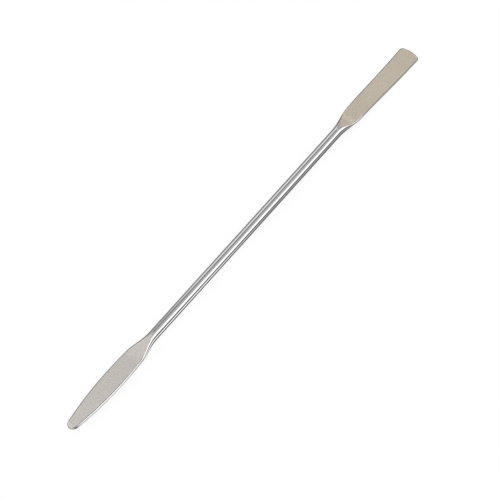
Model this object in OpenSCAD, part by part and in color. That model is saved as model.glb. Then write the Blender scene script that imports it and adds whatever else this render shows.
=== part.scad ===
// Double-ended laboratory spatula, forged from one round bar of stainless steel.
// A round shank runs into a long leaf blade at one end and a square-ended blade at the other.
// X runs along the shank towards the square end, Y runs across the blades and Z is up.
// The spatula lies on the plane Z = 0, on its shank and its square end, with its middle at X = 0.

/* [Spatula] */
// Length over all, from the tip of the leaf to the square end
overall_length = 160; // [130:1:220]
// Diameter of the round shank
shank_diameter = 3; // [2.6:0.1:4]

/* [Leaf blade] */
// Length from the tip to where the shank starts to widen
leaf_length = 37; // [32:0.2:45]
// Width at the belly, the widest place
leaf_width = 6.2; // [5:0.1:9]
// Distance from the tip to the belly
leaf_belly = 20; // [16:0.5:21]
// Width that the sides would have at the tip without its rounding
leaf_tip_width = 2.9; // [2.6:0.1:4]
// Length of the rounding at the tip
leaf_tip_round = 1.5; // [1.2:0.1:2]
// Width of the small flat at the very tip
leaf_tip_land = 0.2; // [0.1:0.05:0.4]
// Width that the sides would have at the shank without their shoulder
leaf_root_width = 4.5; // [4:0.1:6]
// Length of the shoulder, where the shank widens into the blade
leaf_shoulder = 8.4; // [6:0.1:10]
// Thickness of the blade
leaf_thickness = 1.2; // [0.8:0.1:1.4]
// Length from the tip to where the pressed flats start on the shank
leaf_flat_start = 37.8; // [32:0.2:46]
// Length over which the flats slope down to the blade
leaf_ramp = 8.4; // [6:0.1:10]

/* [Square blade] */
// Length from the end to where the shank starts to widen
square_length = 37.4; // [32:0.2:45]
// Width at the square end
square_width = 6.6; // [5:0.1:9]
// Width that the sides would have at the shank without their shoulder
square_root_width = 5.3; // [4.2:0.1:7]
// Radius of the two corners at the end
square_corner = 1.2; // [0.7:0.1:1.6]
// How far the end edge bows outwards in the middle
square_crown = 0.3; // [0.1:0.05:0.6]
// Length of the shoulder, where the shank widens into the blade
square_shoulder = 9; // [6:0.1:10]
// Thickness of the blade
square_thickness = 0.8; // [0.6:0.1:1.2]
// Length from the end to where the pressed flats start on the shank
square_flat_start = 36.6; // [32:0.2:46]
// Length over which the flats slope down to the blade
square_ramp = 8; // [6:0.1:10]
// Length of the stretch at the end that lies level
square_land = 5; // [3:0.5:8]
// How far the underside of that stretch lies below the shank's
square_set = 0.1; // [0.05:0.05:0.3]

/* [Hidden] */
steel = [0.74, 0.73, 0.71];

shank_r = shank_diameter / 2;
// Distance from each end to where the blade's loft has become the round shank
leaf_root = max(leaf_length, leaf_flat_start);
square_root = max(square_length, square_flat_start);
// The square blade curves down past its shoulder, so that the level stretch at its end
// carries that end of the spatula
axis_height = shank_r + square_set;
square_drop = axis_height - square_thickness / 2;
square_bend = square_length - square_shoulder - square_land;

// The loft of each blade ends in a tapered tang inside the shank, which makes them one piece
tang_length = 1.5;
tang_r = 0.8 * shank_r;
// Its round end lies this far inside the shank's surface
seam_depth = 0.002;

// Steps along each stretch of an outline, and points down each side of a section
tip_steps = 9;
side_steps = 10;
shoulder_steps = 20;
edge_steps = 4;
corner_steps = 7;
side_points = 18;

// The flats' slope runs out softly into the blade over this share of its length
ramp_softness = 0.3;

// ---- curves ----

// Evenly spaced values, from the one after first up to last
function spread(first, last, steps) = [for (i = [1 : steps]) first + (last - first) * i / steps];

// Rises from 0 to 1 with a level start and finish
function ease(u) = let (v = max(0, min(1, u))) v * v * (3 - 2 * v);

// Rises from 0 in a straight line and runs out softly at 1
function press(u) =
    u <= 0 ? 0
    : u <= 1 - ramp_softness ? u
    : u < 1 + ramp_softness ? 1 - (1 + ramp_softness - u) ^ 2 / (4 * ramp_softness)
    : 1;

// Rises from 0 to 1 as a quarter circle does, over the distance r
function quarter_round(d, r) = sqrt(1 - (1 - min(d / r, 1)) ^ 2);

// ---- outlines: points [distance from the blade's end, half width], from the end to the shank ----

// Leaf: two parabolas meet at the belly, and an eased shoulder brings them to the shank
function leaf_side(d) =
    let (
        belly = leaf_width / 2,
        slim = (d < leaf_belly ? leaf_tip_width : leaf_root_width) / 2,
        reach = d < leaf_belly ? leaf_belly : leaf_length - leaf_belly,
        side = belly - (belly - slim) * ((d - leaf_belly) / reach) ^ 2
    )
    shank_r + (side - shank_r) * ease((leaf_length - d) / leaf_shoulder);

function leaf_half_width(d) =
    let (land = leaf_tip_land / 2)
    land + (leaf_side(d) - land) * quarter_round(d, leaf_tip_round);

leaf_distances = concat(
    [for (i = [0 : tip_steps]) leaf_tip_round * (1 - cos(90 * i / tip_steps))],
    spread(leaf_tip_round, leaf_length - leaf_shoulder, side_steps),
    spread(leaf_length - leaf_shoulder, leaf_root, shoulder_steps)
);
leaf_outline = [for (d = leaf_distances) [d, leaf_half_width(d)]];

// Square blade: a crowned end edge, two round corners, straight flared sides and a shoulder
function square_side(d) =
    let (
        end_half = square_width / 2,
        root_half = square_root_width / 2,
        side = end_half + (root_half - end_half) * d / square_length
    )
    shank_r + (side - shank_r) * ease((square_length - d) / square_shoulder);

// The end edge is a parabola from its flat middle stretch to the start of the corner
edge_half = square_width / 2 - square_corner;
edge_middle = edge_half / (2 * edge_steps + 1);
function edge_distance(y) = square_crown * (y ^ 2 - edge_middle ^ 2) / edge_half ^ 2;
corner_start = edge_distance(edge_half);

square_outline = concat(
    [[0, edge_middle]],
    [for (y = spread(edge_middle, edge_half, edge_steps)) [edge_distance(y), y]],
    [
        for (a = spread(0, 90, corner_steps))
            let (d = corner_start + square_corner * (1 - cos(a)))
            [d, square_side(d) - square_corner * (1 - sin(a))]
    ],
    [
        for (d = concat(
            spread(corner_start + square_corner, square_length - square_shoulder, side_steps),
            spread(square_length - square_shoulder, square_root, shoulder_steps)
        )) [d, square_side(d)]
    ]
);

// ---- heights of a blade's middle plane over the shank's axis ----

leaf_height = function(d) 0;
square_height = function(d) -square_drop * ease((square_land + square_bend - d) / square_bend);

// ---- sections ----

// Direction square to the outline and away from the blade, at its point number i
function outward(outline, i) =
    let (
        here = outline[i],
        before = i == 0 ? [here.x, -here.y] : outline[i - 1],
        after = i == len(outline) - 1 ? [2 * here.x - before.x, before.y] : outline[i + 1],
        along = (after - before) / norm(after - before)
    )
    [-along.y, along.x];

// Points of one section: down the rounded side at +Y, then up its mirror image at -Y.
// The side is an arc that bulges outward between the two flats, and the flats are its chords.
function section(edge, out, half_t, side_r, z) =
    let (
        half_angle = asin(half_t / side_r),
        side = [
            for (j = [0 : side_points - 1])
                let (
                    a = half_angle * (1 - (2 * j + 1) / side_points),
                    p = edge - side_r * (1 - cos(a)) * out
                )
                [p.x, p.y, z + side_r * sin(a)]
        ]
    )
    concat(side, [for (j = [side_points - 1 : -1 : 0]) [side[j].x, -side[j].y, side[j].z]]);

// One blade, with its end at the origin and the shank's axis along +X.
// The flats press in from flat_start, and the side arcs shrink from the shank's radius with them.
module blade(outline, flat_start, ramp_length, thickness, height) {
    root = outline[len(outline) - 1].x;
    sections = [
        for (i = [0 : len(outline) - 1])
            let (
                d = outline[i].x,
                pressed = press((flat_start - d) / ramp_length),
                half_t = shank_r + (thickness / 2 - shank_r) * pressed,
                side_r = half_t + (shank_r - half_t) * (1 - pressed) ^ 2,
                seam = d == root ? seam_depth : 0
            )
            section(outline[i] - [0, seam], outward(outline, i), half_t - seam, side_r - seam, height(d))
    ];
    tang = section([root + tang_length, tang_r], [0, 1], tang_r, tang_r, 0);
    loft(concat(sections, [tang]));
}

// A skin over rings that all have the same number of points, closed at both ends
module loft(rings) {
    count = len(rings[0]);
    last = len(rings) - 1;
    skin = [
        for (i = [0 : last - 1], j = [0 : count - 1])
            let (
                a = i * count + j,
                b = i * count + (j + 1) % count
            )
            each [[a, b, b + count], [a, b + count, a + count]]
    ];
    // Each end cap is a strip between the ring's two mirrored sides
    caps = [
        for (j = [0 : count / 2 - 2])
            let (k = count - 1 - j, top = last * count)
            each [
                [j, k - 1, j + 1],
                [j, k, k - 1],
                [top + j, top + j + 1, top + k - 1],
                [top + j, top + k - 1, top + k]
            ]
    ];
    polyhedron(points = [for (ring = rings) each ring], faces = concat(skin, caps), convexity = 4);
}

// ---- the spatula ----

module spatula()
    color(steel)
        translate([0, 0, axis_height])
            union() {
                translate([-overall_length / 2, 0, 0])
                    blade(leaf_outline, leaf_flat_start, leaf_ramp, leaf_thickness, leaf_height);
                translate([overall_length / 2, 0, 0])
                    rotate([0, 0, 180])
                        blade(
                            square_outline, square_flat_start, square_ramp, square_thickness, square_height
                        );
                translate([leaf_root - overall_length / 2, 0, 0])
                    rotate([0, 90, 0])
                        cylinder(r = shank_r, h = overall_length - leaf_root - square_root, $fn = 96);
            }

spatula();
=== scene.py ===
import math

import bpy
import numpy as np
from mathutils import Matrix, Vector

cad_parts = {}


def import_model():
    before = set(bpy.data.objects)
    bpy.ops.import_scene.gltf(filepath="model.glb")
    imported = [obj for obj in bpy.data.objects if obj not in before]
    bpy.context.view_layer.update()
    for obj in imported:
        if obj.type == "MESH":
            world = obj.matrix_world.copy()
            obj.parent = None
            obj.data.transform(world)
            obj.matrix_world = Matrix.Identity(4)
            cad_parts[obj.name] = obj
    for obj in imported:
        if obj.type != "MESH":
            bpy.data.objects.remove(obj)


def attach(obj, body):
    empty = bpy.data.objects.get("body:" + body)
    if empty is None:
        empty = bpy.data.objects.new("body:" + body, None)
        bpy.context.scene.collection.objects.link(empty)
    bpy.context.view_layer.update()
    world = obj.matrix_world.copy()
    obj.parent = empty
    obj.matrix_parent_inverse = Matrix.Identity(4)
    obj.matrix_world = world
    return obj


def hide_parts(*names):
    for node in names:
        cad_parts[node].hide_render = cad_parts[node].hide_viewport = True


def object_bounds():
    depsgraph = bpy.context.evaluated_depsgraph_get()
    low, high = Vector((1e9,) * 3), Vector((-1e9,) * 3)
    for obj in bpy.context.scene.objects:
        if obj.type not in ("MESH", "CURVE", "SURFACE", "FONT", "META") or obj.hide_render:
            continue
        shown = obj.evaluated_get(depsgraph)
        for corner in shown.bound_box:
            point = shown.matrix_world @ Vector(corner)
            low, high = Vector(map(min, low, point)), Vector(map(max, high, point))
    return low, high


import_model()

# A double-ended laboratory spatula of stainless steel: a polished round shank whose ends are
# pressed out into a long leaf blade and a square-ended blade with satin flats.
# X runs along the shank towards the square end, Y across the blades and Z is up.

CAD_LOW, CAD_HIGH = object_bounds()

# ---- sizes, in millimetres ----
# A blade's lengths run from its end. Its root width is the width that its sides would have at the
# shank without the shoulder. A flat starts on the shank and slopes down to the blade over its ramp.
MM = 0.001
OVERALL_LENGTH = 160
SHANK_R = 1.5

LEAF_LENGTH = 37
LEAF_WIDTH = 6.2
LEAF_BELLY = 20
LEAF_TIP_WIDTH = 2.9
LEAF_TIP_ROUND = 1.5
LEAF_TIP_LAND = 0.2
LEAF_ROOT_WIDTH = 4.5
LEAF_SHOULDER = 8.4
LEAF_THICKNESS = 1.2
LEAF_FLAT_START = 36.6
LEAF_RAMP = 7.6

SQUARE_LENGTH = 37.4
SQUARE_WIDTH = 6.6
SQUARE_ROOT_WIDTH = 5.3
SQUARE_CORNER = 1.2
SQUARE_CROWN = 0.3
SQUARE_SHOULDER = 9
SQUARE_THICKNESS = 0.8
SQUARE_FLAT_START = 35.9
SQUARE_RAMP = 4.3
# The stretch at the square end that lies level, and how far its underside lies below the shank's
SQUARE_LAND = 5
SQUARE_SET = 0.1

# The shank's axis lies this high over the floor, and the square end's middle plane this much lower
AXIS_HEIGHT = SHANK_R + SQUARE_SET
SQUARE_DROP = AXIS_HEIGHT - SQUARE_THICKNESS / 2
SQUARE_BEND = SQUARE_LENGTH - SQUARE_SHOULDER - SQUARE_LAND

# A ramp runs out softly into its blade over this share of its length, and starts softly on the shank
# over these
RAMP_SOFTNESS = 0.3
LEAF_RAMP_SOFT_START = 0.12
SQUARE_RAMP_SOFT_START = 0.3

# The end edge's bow is straight over this share of its middle
EDGE_STRAIGHT = 1 / 9

# ---- how finely the surfaces are drawn ----
# Distance between rings along a blade and along the shank
BLADE_STEP = 0.2
SHANK_STEP = 1.5
# The blade's step goes on this far past its shoulder, so that no wide ring meets a flat
PAST_SHOULDER = 1
# Rings round the leaf's tip and a square corner, and along the bow of the end edge
ROUND_RINGS = 16
EDGE_RINGS = 8
# Points down a rounded side
SIDE_POINTS = 33
# Places across a flat, from its middle to its crease, with lines close to the crease that keep it
# crisp, and the same from one crease to the other
FLAT_PLACES = np.array([0, 0.4, 0.75, 0.93, 0.985])
ACROSS = np.sort(np.concatenate([FLAT_PLACES, -FLAT_PLACES[1:]]))
# The flats' middle lines stay this far apart where the shank is still round
ROUND_LAND = 0.15

# ---- curves ----


def ease(u):
    """Rises from 0 to 1 with a level start and finish: v squared times (3 - 2 v), where v is u held
    between 0 and 1."""
    v = np.clip(u, 0, 1)
    return v * v * (3 - 2 * v)


def press(u, start):
    """Rises in a straight line from 0 to 1, its two bends rounded by parabolas: from -start to
    start at the bottom, and from 1 - RAMP_SOFTNESS to 1 + RAMP_SOFTNESS at the top."""
    v = np.clip(u, -start, 1 + RAMP_SOFTNESS)
    soft_start = (v + start) ** 2 / (4 * start)
    soft_end = 1 - (1 + RAMP_SOFTNESS - v) ** 2 / (4 * RAMP_SOFTNESS)
    slope = np.where(v < start, soft_start, v)
    return np.where(v > 1 - RAMP_SOFTNESS, soft_end, slope)


def steps(first, last, size):
    """Even steps of about this size from first, which is left out, to last."""
    count = max(1, round(abs(last - first) / size))
    return first + (last - first) * np.arange(1, count + 1) / count


# ---- outlines: distances from the blade's end, half widths ----


def leaf_outline():
    """Two parabolas that meet at the belly; an eased shoulder brings them to the shank and a
    quarter round closes them at the tip."""
    turn = np.linspace(0, math.pi / 2, ROUND_RINGS)
    d = np.concatenate([
        LEAF_TIP_ROUND * (1 - np.cos(turn)),
        steps(LEAF_TIP_ROUND, LEAF_LENGTH + PAST_SHOULDER, BLADE_STEP),
        steps(LEAF_LENGTH + PAST_SHOULDER, OVERALL_LENGTH / 2, SHANK_STEP),
    ])
    belly = LEAF_WIDTH / 2
    slim = np.where(d < LEAF_BELLY, LEAF_TIP_WIDTH, LEAF_ROOT_WIDTH) / 2
    reach = np.where(d < LEAF_BELLY, LEAF_BELLY, LEAF_LENGTH - LEAF_BELLY)
    side = belly - (belly - slim) * ((d - LEAF_BELLY) / reach) ** 2
    side = SHANK_R + (side - SHANK_R) * ease((LEAF_LENGTH - d) / LEAF_SHOULDER)
    land = LEAF_TIP_LAND / 2
    tip = np.sqrt(1 - (1 - np.minimum(d / LEAF_TIP_ROUND, 1)) ** 2)
    return d, land + (side - land) * tip


def square_side(d):
    """Half width of the straight flared sides, eased down to the shank's radius at the shoulder."""
    flare = (SQUARE_WIDTH + (SQUARE_ROOT_WIDTH - SQUARE_WIDTH) * d / SQUARE_LENGTH) / 2
    return SHANK_R + (flare - SHANK_R) * ease((SQUARE_LENGTH - d) / SQUARE_SHOULDER)


def square_outline():
    """An end edge that bows out as a parabola, a quarter-circle corner, then the flared side."""
    edge_half = SQUARE_WIDTH / 2 - SQUARE_CORNER
    middle = edge_half * EDGE_STRAIGHT
    y = np.linspace(middle, edge_half, EDGE_RINGS)
    edge = SQUARE_CROWN * (y**2 - middle**2) / edge_half**2
    turn = np.linspace(0, math.pi / 2, ROUND_RINGS)[1:]
    corner = edge[-1] + SQUARE_CORNER * (1 - np.cos(turn))
    corner_y = square_side(corner) - SQUARE_CORNER * (1 - np.sin(turn))
    side = np.concatenate([
        steps(corner[-1], SQUARE_LENGTH + PAST_SHOULDER, BLADE_STEP),
        steps(SQUARE_LENGTH + PAST_SHOULDER, OVERALL_LENGTH / 2, SHANK_STEP),
    ])
    return np.concatenate([edge, corner, side]), np.concatenate([y, corner_y, square_side(side)])


# ---- sections ----


def outward(d, w):
    """Direction square to the outline at each of its points, from the points before and after."""
    before_d = np.concatenate([d[:1], d[:-1]])
    before_w = np.concatenate([-w[:1], w[:-1]])
    after_d = np.concatenate([d[1:], 2 * d[-1:] - d[-2:-1]])
    after_w = np.concatenate([w[1:], w[-2:-1]])
    run, rise = after_d - before_d, after_w - before_w
    length = np.hypot(run, rise)
    return -rise / length, run / length


def half_spatula(outline, flat_start, ramp, soft_start, thickness, height):
    """Rings of points from a blade's end to the spatula's middle, X running from the end.
    Each ring goes down the rounded side at +Y, across the lower flat, up the side at -Y and back
    across the upper flat. A side is an arc of radius side_r about a point inside the edge, and the
    flats cut it at half_t over and under the middle plane. Also gives, for each point, how far it
    lies inside the flat's rim and how far the flats have been pressed there, from 0 to 1."""
    d, w = outline
    out_d, out_w = outward(d, w)
    pressed = press((flat_start - d) / ramp, soft_start)
    half_t = SHANK_R + (thickness / 2 - SHANK_R) * pressed
    side_r = half_t + (SHANK_R - half_t) * (1 - pressed) ** 2
    crease_angle = np.arcsin(np.minimum(half_t / side_r, 1))
    land_angle = np.arccos(np.clip((ROUND_LAND - w + side_r) / side_r, -1, 1))
    round_here = (pressed < 1) & (land_angle < crease_angle)
    top_angle = np.where(round_here, land_angle, crease_angle)

    # The points of a side stand closer together towards its creases
    place = np.linspace(1, -1, SIDE_POINTS)
    place = (place + np.sin(place * math.pi / 2)) / 2
    angle = top_angle[:, None] * place
    drawn_in = side_r[:, None] * (1 - np.cos(angle))
    side_d = d[:, None] - drawn_in * out_d[:, None]
    side_w = w[:, None] - drawn_in * out_w[:, None]
    side_z = side_r[:, None] * np.sin(angle)

    # Where the shank is still round, its arch lies below the flats and stands in for them
    flat_w = side_w[:, :1] * ACROSS
    flat_d = np.repeat(side_d[:, :1], len(ACROSS), 1)
    beyond = np.maximum(np.abs(flat_w) - (w - side_r)[:, None], 0)
    arch = np.sqrt(np.maximum(side_r[:, None] ** 2 - beyond**2, 0))
    flat_z = np.where(round_here[:, None], np.minimum(arch, half_t[:, None]), half_t[:, None])

    x = np.hstack([side_d, flat_d, side_d[:, ::-1], flat_d])
    y = np.hstack([side_w, flat_w[:, ::-1], -side_w[:, ::-1], flat_w])
    z = np.hstack([side_z, -flat_z, side_z[:, ::-1], flat_z]) + height(d)[:, None]

    # How far inside the flat's rim a point lies; below zero on the sides, along the arc
    flat_inset = np.minimum(side_w[:, :1] * (1 - np.abs(ACROSS)), flat_d - flat_d[0])
    side_inset = -side_r[:, None] * top_angle[:, None] * (1 - np.abs(place))
    inset = np.hstack([side_inset, flat_inset, side_inset, flat_inset])
    return x, y, z, inset, np.repeat(pressed[:, None], x.shape[1], 1)


def ring_faces(rings, points):
    """Quads between neighbouring rings that all have the same number of points."""
    i, j = np.meshgrid(np.arange(rings - 1), np.arange(points), indexing="ij")
    here, beside = i * points + j, i * points + (j + 1) % points
    return np.stack([here, here + points, beside + points, beside], -1).reshape(-1, 4)


def cap(x, y, z, ring, start):
    """A grid that closes one end: each of its rows joins the two mirrored points of the end ring's
    sides in a straight line. The ring starts at one index and the new points at the other. Gives the
    new points, the quads, and for each new point the one at +Y whose row it lies in."""
    inner = len(ACROSS)
    sides = np.arange(SIDE_POINTS)
    grid = np.zeros((SIDE_POINTS, inner + 2), int)
    grid[:, 0] = ring + sides
    grid[:, -1] = ring + SIDE_POINTS + inner + SIDE_POINTS - 1 - sides
    grid[0, 1:-1] = ring + 2 * SIDE_POINTS + 2 * inner - 1 - np.arange(inner)
    grid[-1, 1:-1] = ring + SIDE_POINTS + np.arange(inner)
    grid[1:-1, 1:-1] = start + np.arange((SIDE_POINTS - 2) * inner).reshape(-1, inner)
    rows = grid[1:-1, 0]
    new_x = np.repeat(x[rows][:, None], inner, 1)
    new_y = y[rows][:, None] * ACROSS[::-1]
    new_z = np.repeat(z[rows][:, None], inner, 1)
    quads = np.stack([grid[:-1, :-1], grid[1:, :-1], grid[1:, 1:], grid[:-1, 1:]], -1)
    return new_x.ravel(), new_y.ravel(), new_z.ravel(), quads.reshape(-1, 4), np.repeat(rows, inner)


def spatula_mesh():
    """The leaf's rings and the square blade's mirrored rings in one skin, closed at both ends.
    The leaf is straight, and the square blade bends down past its shoulder."""
    leaf = half_spatula(
        leaf_outline(),
        LEAF_FLAT_START,
        LEAF_RAMP,
        LEAF_RAMP_SOFT_START,
        LEAF_THICKNESS,
        lambda d: 0 * d,
    )
    square = half_spatula(
        square_outline(),
        SQUARE_FLAT_START,
        SQUARE_RAMP,
        SQUARE_RAMP_SOFT_START,
        SQUARE_THICKNESS,
        lambda d: -SQUARE_DROP * ease((SQUARE_LAND + SQUARE_BEND - d) / SQUARE_BEND),
    )
    half = OVERALL_LENGTH / 2
    x = np.vstack([leaf[0] - half, half - square[0][-2::-1]])
    y, z, inset, pressed = (np.vstack([a, b[-2::-1]]) for a, b in zip(leaf[1:], square[1:]))
    rings, points = x.shape
    quads = [ring_faces(rings, points)]
    x, y, z, inset, pressed = (a.ravel() for a in (x, y, z + AXIS_HEIGHT, inset, pressed))

    for ring, flip in ((0, False), ((rings - 1) * points, True)):
        cap_x, cap_y, cap_z, cap_quads, rows = cap(x, y, z, ring, len(x))
        x = np.concatenate([x, cap_x])
        y = np.concatenate([y, cap_y])
        z = np.concatenate([z, cap_z])
        inset = np.concatenate([inset, inset[rows]])
        pressed = np.concatenate([pressed, pressed[rows]])
        quads.append(cap_quads[:, ::-1] if flip else cap_quads)

    vertices = np.clip(np.stack([x, y, z], 1) * MM, CAD_LOW, CAD_HIGH)
    mesh = bpy.data.meshes.new("spatula_steel")
    mesh.from_pydata(vertices, [], np.vstack(quads))
    mesh.attributes.new("inset", "FLOAT", "POINT").data.foreach_set("value", inset)
    mesh.attributes.new("pressed", "FLOAT", "POINT").data.foreach_set("value", pressed)
    mesh.shade_smooth()
    mesh.update()
    return mesh


# ---- the steel ----
# Satin fades in between these two places beside a flat's rim, in millimetres inwards, so below zero
# on the rounded side
RIM = (-0.14, -0.02)
# It starts on the ramps where the flats have reached these shares of their depth, and fades in over
# the last
LEAF_SATIN_START = 0.034
SQUARE_SATIN_START = 0.001
SATIN_FADE = 0.012
# Everything turns from the leaf's tone to the square blade's between these places along X. This
# change is
# # painted reflection: the square blade is given a warmer tone for the warmer light that it reflects
LEAF_TO_SQUARE_PAINTED_TONE = (-30, 30)
POLISHED = (0.72, 0.72, 0.72)
# The edges' colours are the steel's own tone with a painted warm reflection, warmer on the square
# blade
LEAF_EDGE_AND_REFLECTION = (0.74, 0.72, 0.695)
SQUARE_EDGE_AND_REFLECTION = (0.74, 0.705, 0.64)
# The satin colours are the steel's satin tone with a painted reflection: their warm, beige tint
# stands in for warm surroundings that the steel reflects
LEAF_SATIN_AND_REFLECTION = (0.66, 0.625, 0.585)
SQUARE_SATIN_AND_REFLECTION = (0.64, 0.575, 0.475)
# The square blade's satin is a little lighter at its root, up to these two places along X; this
# lighter root is painted light
SQUARE_ROOT_PAINTED_LIGHT = (0.69, 0.62, 0.512)
PAINTED_ROOT_LIGHT_TO_SATIN = (51, 56)
# It is painted a darker grey at the point of its V, a painted shade, and turns to its warm satin
# between these shares of the flats' depth
SQUARE_V_PAINTED_SHADE = (0.44, 0.44, 0.44)
PAINTED_V_SHADE_TO_SATIN = (0.02, 0.35)
# The polish is duller on the edges, from this share of the flats' depth on
SHANK_ROUGHNESS = 0.07
EDGE_ROUGHNESS = 0.13
EDGE_PRESSED = 0.8
SATIN_ROUGHNESS = 0.42
# Lengths along and across the spatula of the noises, in millimetres, and their detail
GRAIN = (6, 0.12, 2.0)
STREAKS = (9, 0.7, 2.0)
CLOUDS = (7, 2.5, 3.0)
NOISE_ROUGHNESS = 0.6
# How far the noises push the satin's shade and the roughness to either side
STREAK_SHADE = 0.03
CLOUD_SHADE = 0.04
STREAK_ROUGHNESS = 0.02
GRAIN_ROUGHNESS = 0.06
# Depth of the grain in millimetres, and how much of it is seen
GRAIN_DEPTH = 0.004
GRAIN_STRENGTH = 0.3


def new_tree(name):
    """A new material and its empty node tree."""
    material = bpy.data.materials.new(name)
    material.use_nodes = True
    material.node_tree.nodes.clear()
    return material, material.node_tree


def add(tree, kind, values=(), **settings):
    """A new node with these settings and these input values, by socket name or number."""
    node = tree.nodes.new(kind)
    for name, value in settings.items():
        setattr(node, name, value)
    for socket, value in dict(values).items():
        node.inputs[socket].default_value = value
    return node


def math_node(tree, operation, *inputs):
    """A Math node; each input is a number or another node's socket."""
    node = add(tree, "ShaderNodeMath", operation=operation)
    for socket, value in zip(node.inputs, inputs):
        if isinstance(value, (int, float)):
            socket.default_value = value
        else:
            tree.links.new(value, socket)
    return node.outputs[0]


def between(tree, value, low, high, to_low=0.0, to_high=1.0, smooth=True):
    """Maps value from low..high to to_low..to_high, held at both ends."""
    node = add(tree, "ShaderNodeMapRange", {"From Min": low, "From Max": high})
    node.inputs["To Min"].default_value = to_low
    node.inputs["To Max"].default_value = to_high
    node.interpolation_type = "SMOOTHSTEP" if smooth else "LINEAR"
    tree.links.new(value, node.inputs["Value"])
    return node.outputs["Result"]


def step(tree, x, places):
    """0 to 1 over these two places in millimetres."""
    return between(tree, x, places[0] * MM, places[1] * MM)


def mix_colour(tree, share, first, second):
    """Mixes two colours, each a tuple or a socket."""
    node = add(tree, "ShaderNodeMix", data_type="RGBA")
    tree.links.new(share, node.inputs["Factor"])
    for socket, value in ((node.inputs["A"], first), (node.inputs["B"], second)):
        if isinstance(value, tuple):
            socket.default_value = (*value, 1)
        else:
            tree.links.new(value, socket)
    return node.outputs["Result"]


def mix_number(tree, share, first, second):
    """Mixes two numbers, each a value or a socket."""
    node = add(tree, "ShaderNodeMix", data_type="FLOAT")
    for name, value in (("Factor", share), ("A", first), ("B", second)):
        if isinstance(value, (int, float)):
            node.inputs[name].default_value = value
        else:
            tree.links.new(value, node.inputs[name])
    return node.outputs["Result"]


def stretched_noise(tree, place, along, across, detail):
    """Noise drawn out along X: features of these lengths along and across the spatula."""
    mapping = add(tree, "ShaderNodeMapping")
    mapping.inputs["Scale"].default_value = (1 / (along * MM), 1 / (across * MM), 1 / (across * MM))
    tree.links.new(place, mapping.inputs["Vector"])
    values = {"Scale": 1.0, "Detail": detail, "Roughness": NOISE_ROUGHNESS}
    noise = add(tree, "ShaderNodeTexNoise", values)
    tree.links.new(mapping.outputs["Vector"], noise.inputs["Vector"])
    return noise.outputs["Fac"]


def about(tree, noise, middle, spread):
    """Maps noise from 0..1 to middle - spread..middle + spread."""
    return math_node(tree, "MULTIPLY_ADD", noise, 2 * spread, middle - spread)


def steel():
    """Stainless steel: a polished shank and edges, and satin flats with a fine lengthwise grain.
    The satin and edges carry a painted warm reflection, warmer towards the square blade; the square
    blade's satin also has painted light at its root and painted shade at the point of its V."""
    material, tree = new_tree("stainless_steel")
    link = tree.links.new
    shader = add(tree, "ShaderNodeBsdfPrincipled", {"Metallic": 1.0})
    out = add(tree, "ShaderNodeOutputMaterial")
    link(shader.outputs["BSDF"], out.inputs["Surface"])
    place = add(tree, "ShaderNodeTexCoord").outputs["Object"]
    split = add(tree, "ShaderNodeSeparateXYZ")
    link(place, split.inputs[0])
    x = split.outputs["X"]
    # Share from the leaf to the square blade: it sets where the satin starts and carries the painted
    # change of tone
    blade = step(tree, x, LEAF_TO_SQUARE_PAINTED_TONE)

    # Where the satin lies, from the two values that the mesh carries
    inset = add(tree, "ShaderNodeAttribute", attribute_name="inset").outputs["Fac"]
    pressed = add(tree, "ShaderNodeAttribute", attribute_name="pressed").outputs["Fac"]
    start = mix_number(tree, blade, LEAF_SATIN_START, SQUARE_SATIN_START)
    started = between(tree, math_node(tree, "SUBTRACT", pressed, start), 0, SATIN_FADE)
    satin = math_node(tree, "MULTIPLY", between(tree, inset, *RIM), started)

    grain = stretched_noise(tree, place, *GRAIN)
    streaks = stretched_noise(tree, place, *STREAKS)
    clouds = stretched_noise(tree, place, *CLOUDS)

    # Painted reflection: the edges turn warmer from the leaf to the square blade
    edge = mix_colour(tree, pressed, POLISHED, mix_colour(tree, blade, LEAF_EDGE_AND_REFLECTION, SQUARE_EDGE_AND_REFLECTION))
    # Painted light: the square blade's satin is lighter at its root
    square = mix_colour(tree, step(tree, x, PAINTED_ROOT_LIGHT_TO_SATIN), SQUARE_ROOT_PAINTED_LIGHT, SQUARE_SATIN_AND_REFLECTION)
    # Painted shade: a darker grey at the point of the square blade's V, where the flats are least
    # pressed
    past_v_shade = between(tree, pressed, *PAINTED_V_SHADE_TO_SATIN, smooth=False)
    square = mix_colour(tree, past_v_shade, SQUARE_V_PAINTED_SHADE, square)
    # The satin's warm, beige tint is painted reflection
    colour = mix_colour(tree, satin, edge, mix_colour(tree, blade, LEAF_SATIN_AND_REFLECTION, square))
    shade = about(tree, streaks, 1, STREAK_SHADE)
    shade = math_node(tree, "MULTIPLY", shade, about(tree, clouds, 1, CLOUD_SHADE))
    shade = mix_number(tree, satin, 1.0, shade)
    tinted = add(tree, "ShaderNodeVectorMath", operation="SCALE")
    link(colour, tinted.inputs[0])
    link(shade, tinted.inputs["Scale"])
    link(tinted.outputs[0], shader.inputs["Base Color"])

    polish = between(tree, pressed, 0, EDGE_PRESSED, SHANK_ROUGHNESS, EDGE_ROUGHNESS, smooth=False)
    polish = math_node(tree, "ADD", polish, about(tree, streaks, 0, STREAK_ROUGHNESS))
    matt = about(tree, grain, SATIN_ROUGHNESS, GRAIN_ROUGHNESS)
    link(mix_number(tree, satin, polish, matt), shader.inputs["Roughness"])

    values = {"Strength": GRAIN_STRENGTH, "Distance": GRAIN_DEPTH * MM}
    bump = add(tree, "ShaderNodeBump", values)
    link(math_node(tree, "MULTIPLY", grain, satin), bump.inputs["Height"])
    link(bump.outputs["Normal"], shader.inputs["Normal"])
    return material


# ---- the spatula ----
spatula = bpy.data.objects.new("spatula_steel", spatula_mesh())
bpy.context.scene.collection.objects.link(spatula)
spatula.data.materials.append(steel())
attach(spatula, "root")
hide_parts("spatula")

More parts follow.
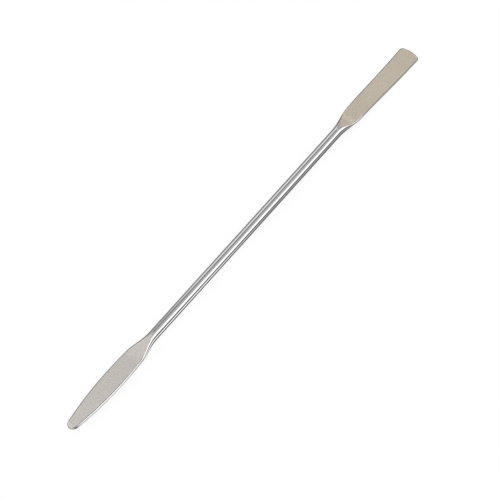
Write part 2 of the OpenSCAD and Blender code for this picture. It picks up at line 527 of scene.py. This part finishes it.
# ---- the studio, in metres ----
FLOOR_HALF = 4
FLOOR_COLOUR = (0.1, 0.1, 0.1, 1)
FLOOR_GLOW = 0.905
TENT_RADIUS = 0.35
# Lines of the tent's grid round it and up it
TENT_TURNS, TENT_RISES = 97, 33
# The floor card lies just over the floor
CARD_HALF = 0.6
CARD_HEIGHT = 0.05 * MM

# Light of the tent as the steel reflects it. Its strips run along the spatula over plainer walls,
# each at an angle from straight up, in degrees, + towards -Y. Places along X are in millimetres.
# Over the blades: (light, angle, half width, soft edge)
LEAF_WALL = 0.42
LEAF_STRIPS = (
    (0.3, -94, 4, 14),
    (1.74, -21, 13, 10),
    (0.5, -21, 2, 5),
    (0.24, 20, 12, 8),
    (1.6, 60, 14, 9),
)
SQUARE_WALL = 0.42
SQUARE_STRIPS = (
    (0.1, -86, 26, 12),
    (1.22, -23, 10, 14),
)
# Over the shank the strips change their light, and lean over between two places along X:
# (light at the leaf, light further on, X of its change, angle at the leaf, angle further on,
# half width, soft edge)
SHANK_WALL = 0.6
SHANK_STRIPS = (
    (0.22, 0.22, None, -94, -95, 4, 14),
    (0.5, 1.05, (98, 124), -71, -51, 4, 20),
    (0.45, 0.24, (84, 94), -32, -22, 5, 14),
    (1.5, 1.68, (86, 96), 43.5, 49.5, 8.5, 19),
    (0.12, 0.12, None, 80, 85, 9, 14),
)
LEAN_FROM, LEAN_TO = 98, 138
# X over which one part of the tent passes into the next
LEAF_TO_SHANK = (79, 90)
SHANK_TO_SQUARE = (194, 200)
# Beyond the square end the tent is dark behind the spatula
END_DARK = 0.1
END_ANGLES = (-42, -28)
SQUARE_TO_END = (275, 295)
# Beyond the leaf's tip the tent is light, but for a dark patch in front
TIP_LIGHT, TIP_DARK = 0.85, 0.3
TIP_ANGLES = (0, 30)
TIP_PATCH = (-270, -235)
TIP_TO_LEAF = (-35, -12)
# Light of the floor card for each stretch along the spatula: (X over which it takes over, or None
# # for the first, then its light by Y as (Y, light) ...). Its dim stops close to the spatula are
# painted
# # shadow: the spatula's shadow on the floor as the steel reflects it
CARD_LIGHT_AND_PAINTED_SHADOW = (
    (
        None,
        ((-25, 0.12), (-3.4, 0.12), (-2.6, 0.7), (-1.2, 0.7), (0.5, 0.25), (25, 0.25)),
    ),
    (
        (-77.5, -76),
        ((-25, 1.0), (-12, 1.2), (-7, 1.2), (-5, 0.7), (-3.9, 0.4), (4, 0.35), (25, 0.3)),
    ),
    (
        (-50, -44),
        ((-25, 0.4), (-12, 0.9), (-8, 1.6), (-4.9, 1.6), (-3.9, 0.04), (4, 0.3), (25, 0.2)),
    ),
    (
        (-24, 15),
        ((-25, 0.35), (-12, 0.5), (-6, 0.5), (-3.6, 0.16), (6, 0.3), (25, 0.18)),
    ),
    (
        (44, 50),
        ((-25, 0.42), (-4, 0.42), (4, 0.12), (25, 0.12)),
    ),
    (
        (80, 80.5),
        ((-25, 0.3), (-3, 0.3), (-1, 0.1), (25, 0.1)),
    ),
)


def grid_object(name, x, y, z, material):
    """An object of the studio: the surface through the points of three equal grids of coordinates."""
    rows, columns = x.shape
    i, j = np.meshgrid(np.arange(rows - 1), np.arange(columns - 1), indexing="ij")
    here = i * columns + j
    quads = np.stack([here, here + 1, here + columns + 1, here + columns], -1).reshape(-1, 4)
    mesh = bpy.data.meshes.new(name)
    mesh.from_pydata(np.stack([x, y, z], -1).reshape(-1, 3), [], quads)
    mesh.shade_smooth()
    mesh.materials.append(material)
    surface = bpy.data.objects.new(name, mesh)
    bpy.context.scene.collection.objects.link(surface)
    return surface


def only_reflected(card):
    """Keeps a card out of the picture and of the floor's light: only the steel's shine sees it."""
    card.visible_camera = False
    card.visible_diffuse = False
    card.visible_transmission = False
    card.visible_shadow = False
    card.visible_volume_scatter = False


def level_square(half, height):
    """Grids of a level square about the origin."""
    x, y = np.meshgrid([-half, half], [-half, half], indexing="ij")
    return x, y, 0 * x + height


def floor():
    """White floor that takes the spatula's soft shadow. Its glow for the camera, reflections and
    transmission makes it as white as the background."""
    material, tree = new_tree("white_floor")
    diffuse = add(tree, "ShaderNodeBsdfDiffuse", {"Color": FLOOR_COLOUR})
    path = add(tree, "ShaderNodeLightPath").outputs
    seen = math_node(tree, "MAXIMUM", path["Is Camera Ray"], path["Is Glossy Ray"])
    seen = math_node(tree, "MAXIMUM", seen, path["Is Transmission Ray"])
    glow = add(tree, "ShaderNodeEmission")
    tree.links.new(math_node(tree, "MULTIPLY", seen, FLOOR_GLOW), glow.inputs["Strength"])
    both = add(tree, "ShaderNodeAddShader")
    tree.links.new(diffuse.outputs[0], both.inputs[0])
    tree.links.new(glow.outputs[0], both.inputs[1])
    out = add(tree, "ShaderNodeOutputMaterial")
    tree.links.new(both.outputs[0], out.inputs["Surface"])
    grid_object("floor", *level_square(FLOOR_HALF, 0), material)


def light_ramp(tree, value, stops):
    """A colour ramp over value in millimetres, from stops of (place, light)."""
    low, high = stops[0][0], stops[-1][0]
    node = add(tree, "ShaderNodeValToRGB")
    tree.links.new(between(tree, value, low * MM, high * MM, smooth=False), node.inputs["Fac"])
    elements = node.color_ramp.elements
    for number, (place, light) in enumerate(stops):
        where = (place - low) / (high - low)
        element = elements[number] if number < 2 else elements.new(where)
        element.position = where
        element.color = (light, light, light, 1)
    return node.outputs["Color"]


def glow_material(name, light_of):
    """A material that glows with the colour that light_of builds in its tree."""
    material, tree = new_tree(name)
    glow = add(tree, "ShaderNodeEmission")
    out = add(tree, "ShaderNodeOutputMaterial")
    tree.links.new(light_of(tree), glow.inputs["Color"])
    tree.links.new(glow.outputs[0], out.inputs["Surface"])
    return material


def strip_share(tree, angle, centre, half, soft):
    """1 within half the strip's width of its centre, easing to 0 over its soft edge."""
    off = math_node(tree, "ABSOLUTE", math_node(tree, "SUBTRACT", angle, centre))
    return between(tree, off, half, half + soft, 1.0, 0.0)


def grey(light):
    """White light of this strength as a colour."""
    return (light, light, light)


def over_blade(tree, angle, wall, strips):
    """The tent's light over a blade: its strips over its wall."""
    light = grey(wall)
    for strip, centre, half, soft in strips:
        light = mix_colour(tree, strip_share(tree, angle, centre, half, soft), light, grey(strip))
    return light


def over_shank(tree, x, angle):
    """The tent's light over the shank: its changing, leaning strips over its wall."""
    light = grey(SHANK_WALL)
    first, last = LEAN_FROM * MM, LEAN_TO * MM
    for leaf_light, shank_light, change, leaf_angle, shank_angle, half, soft in SHANK_STRIPS:
        strip = grey(shank_light)
        if change:
            strip = mix_colour(tree, step(tree, x, change), grey(leaf_light), strip)
        centre = between(tree, x, first, last, leaf_angle, shank_angle, smooth=False)
        light = mix_colour(tree, strip_share(tree, angle, centre, half, soft), light, strip)
    return light


def tent_light(tree):
    """The tent's light by the angle from straight up about the spatula's length, and by X."""
    place = add(tree, "ShaderNodeSeparateXYZ")
    tree.links.new(add(tree, "ShaderNodeTexCoord").outputs["Object"], place.inputs[0])
    x = place.outputs["X"]
    side = math_node(tree, "MULTIPLY", place.outputs["Y"], -1)
    angle = math_node(tree, "DEGREES", math_node(tree, "ARCTAN2", side, place.outputs["Z"]))
    patch = math_node(tree, "MULTIPLY", between(tree, angle, *TIP_ANGLES), step(tree, x, TIP_PATCH))
    light = mix_colour(tree, patch, grey(TIP_LIGHT), grey(TIP_DARK))
    leaf = over_blade(tree, angle, LEAF_WALL, LEAF_STRIPS)
    light = mix_colour(tree, step(tree, x, TIP_TO_LEAF), light, leaf)
    light = mix_colour(tree, step(tree, x, LEAF_TO_SHANK), light, over_shank(tree, x, angle))
    square = over_blade(tree, angle, SQUARE_WALL, SQUARE_STRIPS)
    light = mix_colour(tree, step(tree, x, SHANK_TO_SQUARE), light, square)
    behind = between(tree, angle, *END_ANGLES, 1.0, 0.0)
    end = math_node(tree, "MULTIPLY", behind, step(tree, x, SQUARE_TO_END))
    return mix_colour(tree, end, light, grey(END_DARK))


def card_light(tree):
    """The floor card's light by Y, from one stretch along the spatula to the next, with painted
    shadow close to the spatula.
    """
    place = add(tree, "ShaderNodeSeparateXYZ")
    tree.links.new(add(tree, "ShaderNodeTexCoord").outputs["Object"], place.inputs[0])
    x, y = place.outputs["X"], place.outputs["Y"]
    light = None
    for start, stops in CARD_LIGHT_AND_PAINTED_SHADOW:
        stretch = light_ramp(tree, y, stops)
        light = mix_colour(tree, step(tree, x, start), light, stretch) if start else stretch
    return light


def tent():
    """A dome round the spatula, its radius times the sines and cosines of two angles, and the card
    over the floor."""
    turns = np.linspace(0, 2 * math.pi, TENT_TURNS)
    rises = np.linspace(0, math.pi / 2, TENT_RISES)
    turn, rise = np.meshgrid(turns, rises, indexing="ij")
    x = TENT_RADIUS * np.cos(turn) * np.cos(rise)
    y = TENT_RADIUS * np.sin(turn) * np.cos(rise)
    z = TENT_RADIUS * np.sin(rise)
    only_reflected(grid_object("light_tent", x, y, z, glow_material("tent_light", tent_light)))
    x, y, z = level_square(CARD_HALF, CARD_HEIGHT)
    only_reflected(grid_object("floor_card", x, y, z, glow_material("card_light", card_light)))


def world():
    """Plain white light from all round, which is the background too."""
    studio = bpy.data.worlds.new("white_studio")
    studio.use_nodes = True
    background = studio.node_tree.nodes["Background"]
    background.inputs["Color"].default_value = (1, 1, 1, 1)
    background.inputs["Strength"].default_value = 1
    bpy.context.scene.world = studio


floor()
tent()
world()

# ---- the camera: millimetres and degrees ----
CAMERA_DISTANCE = 900
CAMERA_ELEVATION = 58.25
CAMERA_AZIMUTH = -52.38
PIXELS_PER_MM = 3.5035
FRAME_PIXELS = 500
# Where the middle of the shank's axis lies in the frame
MIDDLE_PIXEL = (246.77, 232.06)
SENSOR_WIDTH = 36
# In metres
CLIP_START, CLIP_END = 0.01, 20


def place_camera():
    """Stands the camera off the shank's middle and turns it so that this middle comes to its place
    in the frame."""
    optics = bpy.data.cameras.new("camera")
    optics.sensor_width = SENSOR_WIDTH
    optics.lens = SENSOR_WIDTH * PIXELS_PER_MM * CAMERA_DISTANCE / FRAME_PIXELS
    optics.clip_start = CLIP_START
    optics.clip_end = CLIP_END
    elevation, azimuth = math.radians(CAMERA_ELEVATION), math.radians(CAMERA_AZIMUTH)
    back = Vector((
        math.sin(azimuth) * math.cos(elevation),
        -math.cos(azimuth) * math.cos(elevation),
        math.sin(elevation),
    ))
    turn = (-back).to_track_quat("-Z", "Y")
    right = turn @ Vector((1, 0, 0))
    up = turn @ Vector((0, 1, 0))
    across = (FRAME_PIXELS / 2 - MIDDLE_PIXEL[0]) / PIXELS_PER_MM
    down = (FRAME_PIXELS / 2 - MIDDLE_PIXEL[1]) / PIXELS_PER_MM
    middle = Vector((0, 0, AXIS_HEIGHT))
    stand = middle + back * CAMERA_DISTANCE
    aim = middle + right * across - up * down
    camera = bpy.data.objects.new("camera", optics)
    camera.rotation_mode = "QUATERNION"
    camera.rotation_quaternion = (aim - stand).to_track_quat("-Z", "Y")
    camera.location = stand * MM
    bpy.context.scene.collection.objects.link(camera)
    bpy.context.scene.camera = camera


place_camera()
bpy.context.scene.view_settings.view_transform = "Standard"
